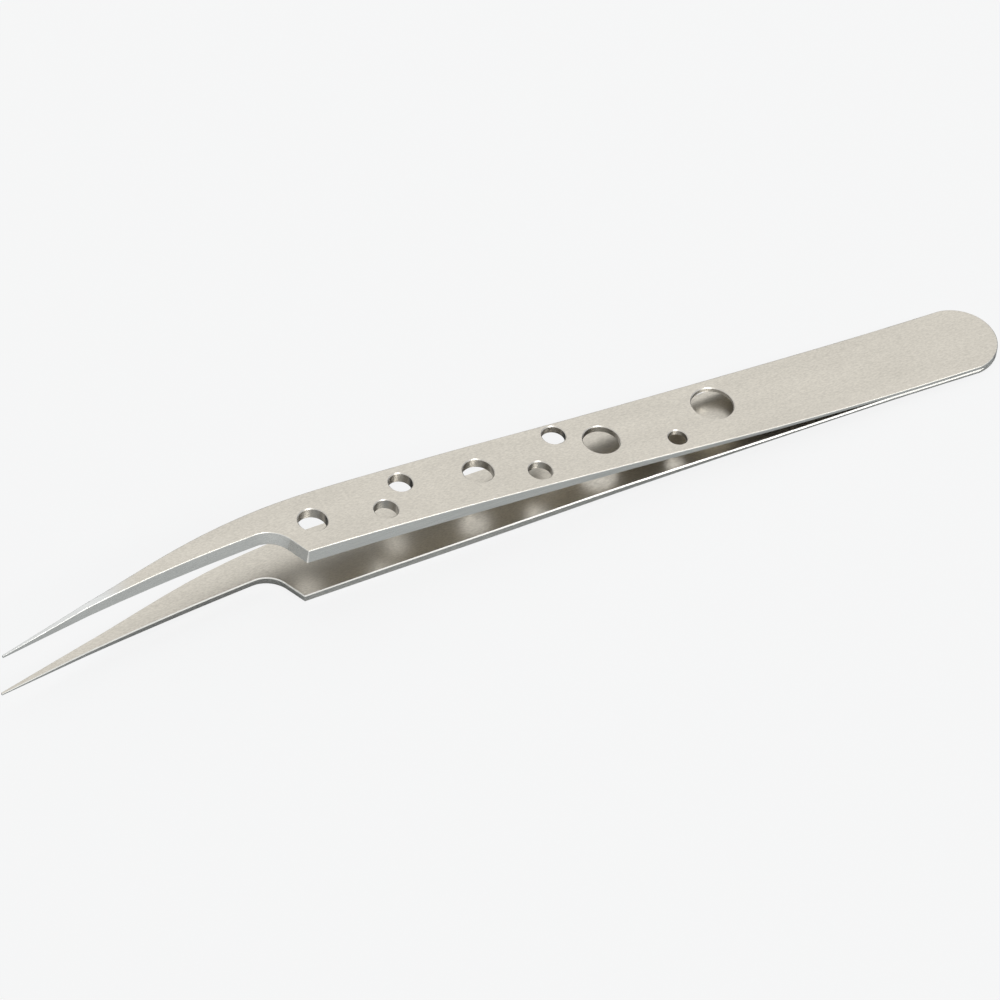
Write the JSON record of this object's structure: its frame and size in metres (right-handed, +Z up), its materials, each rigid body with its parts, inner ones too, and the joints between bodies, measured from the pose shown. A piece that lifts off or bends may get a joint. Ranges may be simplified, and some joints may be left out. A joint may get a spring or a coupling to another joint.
{
  "type": "fine-point tweezers",
  "caption": "Long steel tweezers with bent needle points, a notched nose and lightening holes in the upper arm, for picking up small delicate parts.",
  "frame": {"origin": "centre of the bounding box, on the surface that the tweezers lie on", "axes": "+X along the arms from the tail to the points, +Y towards the side that the points bend to, +Z up, away from the surface"},
  "size_m": [0.115, 0.009, 0.0084],
  "materials": {
    "satin_steel": "fine satin ground stainless steel, with brighter ground sides and a polished needle",
    "satin_steel_plain": "fine satin ground stainless steel"
  },
  "bodies": {
    "root": {"upper_arm": "satin_steel", "lower_arm": "satin_steel_plain"}
  },
  "joints": []
}
